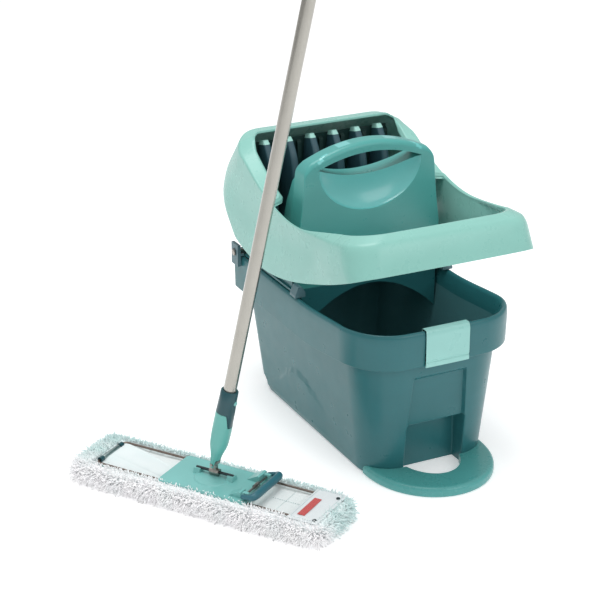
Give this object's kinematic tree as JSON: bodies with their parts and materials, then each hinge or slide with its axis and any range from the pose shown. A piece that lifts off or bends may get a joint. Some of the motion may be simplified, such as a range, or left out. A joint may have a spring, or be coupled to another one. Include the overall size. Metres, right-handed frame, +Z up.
{
  "type": "flat mop with wringer bucket",
  "caption": "Flat floor mop with a wire-frame head, fringed cover and jointed pole, beside an oblong bucket with a lever-operated press that wrings the cover.",
  "frame": {"origin": "middle of the bucket's underside, on the floor", "axes": "+Z up along the standing pole, -Y towards the bucket's front with the foot loop, +Y towards the press hinge; the mop stands on the floor at the bucket's -X side"},
  "size_m": [0.7603, 0.7041, 1.337],
  "materials": {
    "bucket_plastic": "satin moulded plastic",
    "handle_plastic": "satin moulded plastic",
    "catch_plastic": "smooth plastic",
    "dark_plastic": "matt plastic",
    "steel": "drawn wire",
    "lever_plastic": "smooth plastic",
    "blade_plastic": "satin moulded plastic",
    "head_plastic": "satin moulded plastic",
    "sleeve_plastic": "satin moulded plastic",
    "cover_fabric": "looped microfibre",
    "label_fabric": "woven tape",
    "pole_metal": "satin lacquer",
    "grip_rubber": "matt rubber"
  },
  "bodies": {
    "bucket": {"bucket_body": "bucket_plastic", "foot_loop": "bucket_plastic", "front_catch": "catch_plastic", "press_tray": "bucket_plastic", "handle_front_shell": "handle_plastic", "handle_rear_shell": "handle_plastic", "rim_clip_left": "dark_plastic", "rim_clip_right": "dark_plastic", "hinge_bracket_left": "dark_plastic", "hinge_bracket_right": "dark_plastic", "hinge_pin_left": "steel", "hinge_pin_right": "steel", "return_spring_left": "steel", "return_spring_right": "steel"},
    "press_lever": {"lever_frame": "lever_plastic", "blade_carrier": "dark_plastic", "press_blade_1": "blade_plastic", "press_blade_2": "blade_plastic", "press_blade_3": "blade_plastic", "press_blade_4": "blade_plastic", "press_blade_5": "blade_plastic", "press_blade_6": "blade_plastic"},
    "mop_head": {"mop_plate": "head_plastic", "left_wire_frame": "steel", "frame_end_bar": "steel", "corner_sleeve_front": "sleeve_plastic", "corner_sleeve_rear": "sleeve_plastic", "tilt_rod": "steel", "release_pin": "steel", "release_spring": "steel", "cover_main": "cover_fabric"},
    "right_wing": {"right_wire_frame": "steel", "cover_wing": "cover_fabric", "end_pocket": "cover_fabric", "cover_label": "label_fabric", "eyelet_front": "dark_plastic", "eyelet_rear": "dark_plastic"},
    "foot_release": {"release_lever": "sleeve_plastic"},
    "joint_link": {"cross_link": "steel"},
    "pole": {"cross_pin": "steel", "socket": "head_plastic", "click_sleeve": "sleeve_plastic", "pole_tube": "pole_metal", "pole_grip": "grip_rubber", "grip_cap": "sleeve_plastic"},
    "sleeve_button": {"click_button": "head_plastic"}
  },
  "joints": [
    {"name": "lever_press", "type": "hinge", "parent": "bucket", "child": "press_lever", "pos_m": [0, 0.236, 0.2752], "axis": [1, 0, 0], "range_deg": [0, 13], "stiffness_Nm_per_rad": 14, "springref_deg": -20.05},
    {"name": "mop_lift", "type": "slide", "parent": "bucket", "child": "mop_head", "axis": [0, 0, 1], "range_m": [0, 0.35]},
    {"name": "wing_fold", "type": "hinge", "parent": "mop_head", "child": "right_wing", "pos_m": [-0.34024, -0.21709, 0.036], "axis": [0.8212, 0.5707, 0], "range_deg": [0, 70]},
    {"name": "release_press", "type": "hinge", "parent": "mop_head", "child": "foot_release", "pos_m": [-0.33796, -0.22038, 0.047], "axis": [0.8212, 0.5707, 0], "range_deg": [0, 10], "stiffness_Nm_per_rad": 0.6, "springref_deg": -8.59},
    {"name": "head_tilt", "type": "hinge", "parent": "mop_head", "child": "joint_link", "pos_m": [-0.38097, -0.14798, 0.0495], "axis": [0.5707, -0.8212, 0], "range_deg": [-22, 50]},
    {"name": "pole_swivel", "type": "hinge", "parent": "joint_link", "child": "pole", "pos_m": [-0.38006, -0.14734, 0.06546], "axis": [0.8192, 0.5693, -0.0698], "range_deg": [-65, 45]},
    {"name": "button_press", "type": "slide", "parent": "pole", "child": "sleeve_button", "axis": [-0.5507, 0.8147, 0.1818], "range_m": [0, 0.0011], "stiffness_N_per_m": 900, "springref_m": -0.001}
  ]
}
